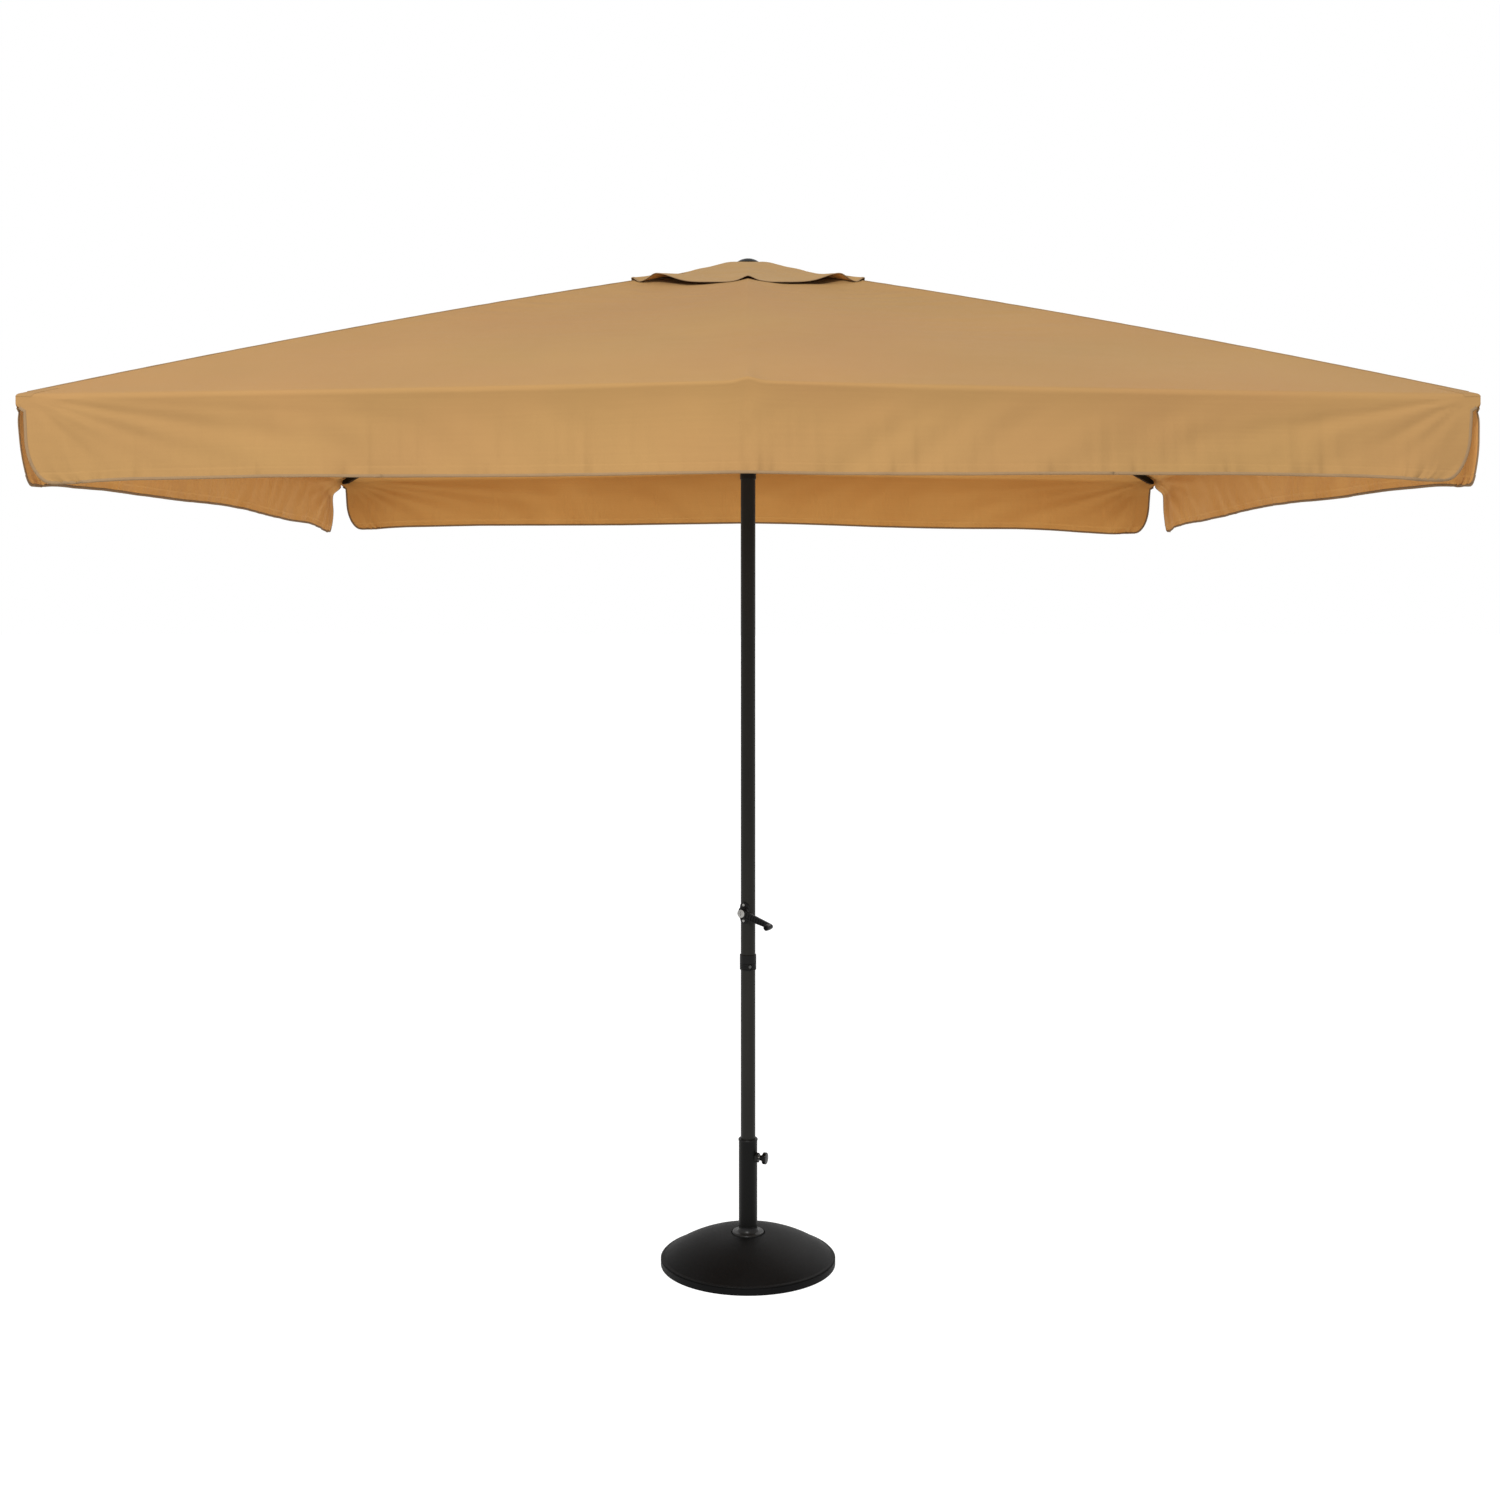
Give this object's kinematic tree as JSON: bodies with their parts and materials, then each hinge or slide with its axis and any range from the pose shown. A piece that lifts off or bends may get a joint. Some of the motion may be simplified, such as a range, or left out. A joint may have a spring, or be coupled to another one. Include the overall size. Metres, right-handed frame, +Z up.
{
  "type": "patio umbrella with base",
  "caption": "Square patio umbrella on a weighted round foot, with a crank, a vented top and straight valances; it folds, turns and lifts out of its foot.",
  "frame": {"origin": "middle of the foot's underside", "axes": "+Z up along the pole; -Y towards the front"},
  "size_m": [2.7, 2.7, 2.592],
  "materials": {
    "base_black": "matte",
    "ballast": "matte",
    "rubber": "matte",
    "pole_paint": "satin",
    "frame_paint": "satin",
    "black_plastic": "satin",
    "knob_gloss": "gloss",
    "bright_steel": "polished",
    "cord": "matte",
    "canvas": "matte"
  },
  "bodies": {
    "base": {"base_shell": "base_black", "base_ballast": "ballast", "base_feet": "rubber", "base_tube": "pole_paint", "tube_foot_collar": "black_plastic", "tube_bushing": "black_plastic", "clamp_nut": "frame_paint"},
    "clamp_foot": {"clamp_pad": "black_plastic"},
    "clamp_knob": {"clamp_screw": "bright_steel", "clamp_knob": "knob_gloss"},
    "foot_plug": {"pole_foot_plug": "black_plastic"},
    "lower_mast": {"lower_pole": "pole_paint"},
    "upper_mast": {"upper_pole": "pole_paint", "joint_collar": "black_plastic", "crank_housing": "black_plastic", "crank_screws": "bright_steel", "top_hub": "black_plastic", "hub_pins": "bright_steel", "finial": "black_plastic", "lift_cord": "cord"},
    "snap_button": {"snap_button": "bright_steel"},
    "runner": {"runner": "black_plastic", "runner_pins": "bright_steel"},
    "crank": {"crank_drum": "black_plastic", "crank_arm": "black_plastic", "crank_hub_screw": "bright_steel"},
    "grip": {"crank_grip": "black_plastic"},
    "pulley": {"pulley": "black_plastic"},
    "rib_1": {"rib_1": "frame_paint", "rib_fittings_1": "black_plastic", "canopy_sector_1": "canvas"},
    "strut_1": {"strut_1": "frame_paint"},
    "rib_2": {"rib_2": "frame_paint", "rib_fittings_2": "black_plastic", "canopy_sector_2": "canvas"},
    "strut_2": {"strut_2": "frame_paint"},
    "rib_3": {"rib_3": "frame_paint", "rib_fittings_3": "black_plastic", "canopy_sector_3": "canvas"},
    "strut_3": {"strut_3": "frame_paint"},
    "rib_4": {"rib_4": "frame_paint", "rib_fittings_4": "black_plastic", "canopy_sector_4": "canvas"},
    "strut_4": {"strut_4": "frame_paint"},
    "rib_5": {"rib_5": "frame_paint", "rib_fittings_5": "black_plastic", "canopy_sector_5": "canvas"},
    "strut_5": {"strut_5": "frame_paint"},
    "rib_6": {"rib_6": "frame_paint", "rib_fittings_6": "black_plastic", "canopy_sector_6": "canvas"},
    "strut_6": {"strut_6": "frame_paint"},
    "rib_7": {"rib_7": "frame_paint", "rib_fittings_7": "black_plastic", "canopy_sector_7": "canvas"},
    "strut_7": {"strut_7": "frame_paint"},
    "rib_8": {"rib_8": "frame_paint", "rib_fittings_8": "black_plastic", "canopy_sector_8": "canvas"},
    "strut_8": {"strut_8": "frame_paint"}
  },
  "joints": [
    {"name": "clamp_travel", "type": "slide", "parent": "base", "child": "clamp_foot", "axis": [0.9397, -0.342, 0], "range_m": [0, 0.004]},
    {"name": "clamp_turn", "type": "hinge", "parent": "clamp_foot", "child": "clamp_knob", "pos_m": [0, 0, 0.275], "axis": [0.9397, -0.342, 0], "range_deg": [0, 1152.1]},
    {"name": "pole_lift", "type": "slide", "parent": "base", "child": "foot_plug", "axis": [0, 0, 1], "range_m": [0, 0.33]},
    {"name": "pole_turn", "type": "hinge", "parent": "foot_plug", "child": "lower_mast", "pos_m": [0, 0, 0], "axis": [0, 0, 1], "continuous": true},
    {"name": "pole_pull_apart", "type": "slide", "parent": "lower_mast", "child": "upper_mast", "axis": [0, 0, 1], "range_m": [0, 0.125]},
    {"name": "button_press", "type": "slide", "parent": "upper_mast", "child": "snap_button", "axis": [-0.2419, 0.9703, 0], "range_m": [0, 0.003], "stiffness_N_per_m": 400},
    {"name": "canopy_lift", "type": "slide", "parent": "upper_mast", "child": "runner", "axis": [0, 0, 1], "range_m": [-0.975, 0], "deforming": ["canopy_sector_1", "canopy_sector_2", "canopy_sector_3", "canopy_sector_4", "canopy_sector_5", "canopy_sector_6", "canopy_sector_7", "canopy_sector_8", "lift_cord"]},
    {"name": "crank_turn", "type": "hinge", "parent": "upper_mast", "child": "crank", "pos_m": [0, 0, 0.907], "axis": [-0.5, -0.866, 0], "range_deg": [0, 4858.17]},
    {"name": "grip_spin", "type": "hinge", "parent": "crank", "child": "grip", "pos_m": [0.07288, -0.04208, 0.88127], "axis": [-0.5, -0.866, 0], "continuous": true},
    {"name": "pulley_turn", "type": "hinge", "parent": "upper_mast", "child": "pulley", "pos_m": [0.00402, 0.0097, 2.548], "axis": [-0.9239, 0.3827, 0], "range_deg": [-4469.52, 0]},
    {"name": "rib_1_fold", "type": "hinge", "parent": "upper_mast", "child": "rib_1", "pos_m": [0.04, 0, 2.552], "axis": [0, 1, 0], "range_deg": [0, 60.62]},
    {"name": "strut_1_fold", "type": "hinge", "parent": "rib_1", "child": "strut_1", "pos_m": [0.73148, 0, 2.3168], "axis": [0, 1, 0], "range_deg": [-121.61, 0]},
    {"name": "rib_2_fold", "type": "hinge", "parent": "upper_mast", "child": "rib_2", "pos_m": [0.02828, 0.02828, 2.552], "axis": [-0.7071, 0.7071, 0], "range_deg": [0, 64.98]},
    {"name": "strut_2_fold", "type": "hinge", "parent": "rib_2", "child": "strut_2", "pos_m": [0.5154, 0.5154, 2.37387], "axis": [-0.7071, 0.7071, 0], "range_deg": [-122.36, 0]},
    {"name": "rib_3_fold", "type": "hinge", "parent": "upper_mast", "child": "rib_3", "pos_m": [0, 0.04, 2.552], "axis": [-1, 0, 0], "range_deg": [0, 60.62]},
    {"name": "strut_3_fold", "type": "hinge", "parent": "rib_3", "child": "strut_3", "pos_m": [0, 0.73148, 2.3168], "axis": [-1, 0, 0], "range_deg": [-121.61, 0]},
    {"name": "rib_4_fold", "type": "hinge", "parent": "upper_mast", "child": "rib_4", "pos_m": [-0.02828, 0.02828, 2.552], "axis": [-0.7071, -0.7071, 0], "range_deg": [0, 64.98]},
    {"name": "strut_4_fold", "type": "hinge", "parent": "rib_4", "child": "strut_4", "pos_m": [-0.5154, 0.5154, 2.37387], "axis": [-0.7071, -0.7071, 0], "range_deg": [-122.36, 0]},
    {"name": "rib_5_fold", "type": "hinge", "parent": "upper_mast", "child": "rib_5", "pos_m": [-0.04, 0, 2.552], "axis": [0, -1, 0], "range_deg": [0, 60.62]},
    {"name": "strut_5_fold", "type": "hinge", "parent": "rib_5", "child": "strut_5", "pos_m": [-0.73148, 0, 2.3168], "axis": [0, -1, 0], "range_deg": [-121.61, 0]},
    {"name": "rib_6_fold", "type": "hinge", "parent": "upper_mast", "child": "rib_6", "pos_m": [-0.02828, -0.02828, 2.552], "axis": [0.7071, -0.7071, 0], "range_deg": [0, 64.98]},
    {"name": "strut_6_fold", "type": "hinge", "parent": "rib_6", "child": "strut_6", "pos_m": [-0.5154, -0.5154, 2.37387], "axis": [0.7071, -0.7071, 0], "range_deg": [-122.36, 0]},
    {"name": "rib_7_fold", "type": "hinge", "parent": "upper_mast", "child": "rib_7", "pos_m": [0, -0.04, 2.552], "axis": [1, 0, 0], "range_deg": [0, 60.62]},
    {"name": "strut_7_fold", "type": "hinge", "parent": "rib_7", "child": "strut_7", "pos_m": [0, -0.73148, 2.3168], "axis": [1, 0, 0], "range_deg": [-121.61, 0]},
    {"name": "rib_8_fold", "type": "hinge", "parent": "upper_mast", "child": "rib_8", "pos_m": [0.02828, -0.02828, 2.552], "axis": [0.7071, 0.7071, 0], "range_deg": [0, 64.98]},
    {"name": "strut_8_fold", "type": "hinge", "parent": "rib_8", "child": "strut_8", "pos_m": [0.5154, -0.5154, 2.37387], "axis": [0.7071, 0.7071, 0], "range_deg": [-122.36, 0]}
  ],
  "couplings": [
    {"joint": "clamp_turn", "follows": "clamp_travel", "rad_per_m": 5026.5},
    {"joint": "crank_turn", "follows": "canopy_lift", "rad_per_m": -86.957},
    {"joint": "pulley_turn", "follows": "canopy_lift", "rad_per_m": 80},
    {"joint": "rib_1_fold", "follows": "canopy_lift", "rad_per_m": -1.085},
    {"joint": "strut_1_fold", "follows": "canopy_lift", "rad_per_m": 2.1768},
    {"joint": "rib_2_fold", "follows": "canopy_lift", "rad_per_m": -1.1631},
    {"joint": "strut_2_fold", "follows": "canopy_lift", "rad_per_m": 2.1901},
    {"joint": "rib_3_fold", "follows": "canopy_lift", "rad_per_m": -1.085},
    {"joint": "strut_3_fold", "follows": "canopy_lift", "rad_per_m": 2.1768},
    {"joint": "rib_4_fold", "follows": "canopy_lift", "rad_per_m": -1.1631},
    {"joint": "strut_4_fold", "follows": "canopy_lift", "rad_per_m": 2.1901},
    {"joint": "rib_5_fold", "follows": "canopy_lift", "rad_per_m": -1.085},
    {"joint": "strut_5_fold", "follows": "canopy_lift", "rad_per_m": 2.1768},
    {"joint": "rib_6_fold", "follows": "canopy_lift", "rad_per_m": -1.1631},
    {"joint": "strut_6_fold", "follows": "canopy_lift", "rad_per_m": 2.1901},
    {"joint": "rib_7_fold", "follows": "canopy_lift", "rad_per_m": -1.085},
    {"joint": "strut_7_fold", "follows": "canopy_lift", "rad_per_m": 2.1768},
    {"joint": "rib_8_fold", "follows": "canopy_lift", "rad_per_m": -1.1631},
    {"joint": "strut_8_fold", "follows": "canopy_lift", "rad_per_m": 2.1901}
  ]
}
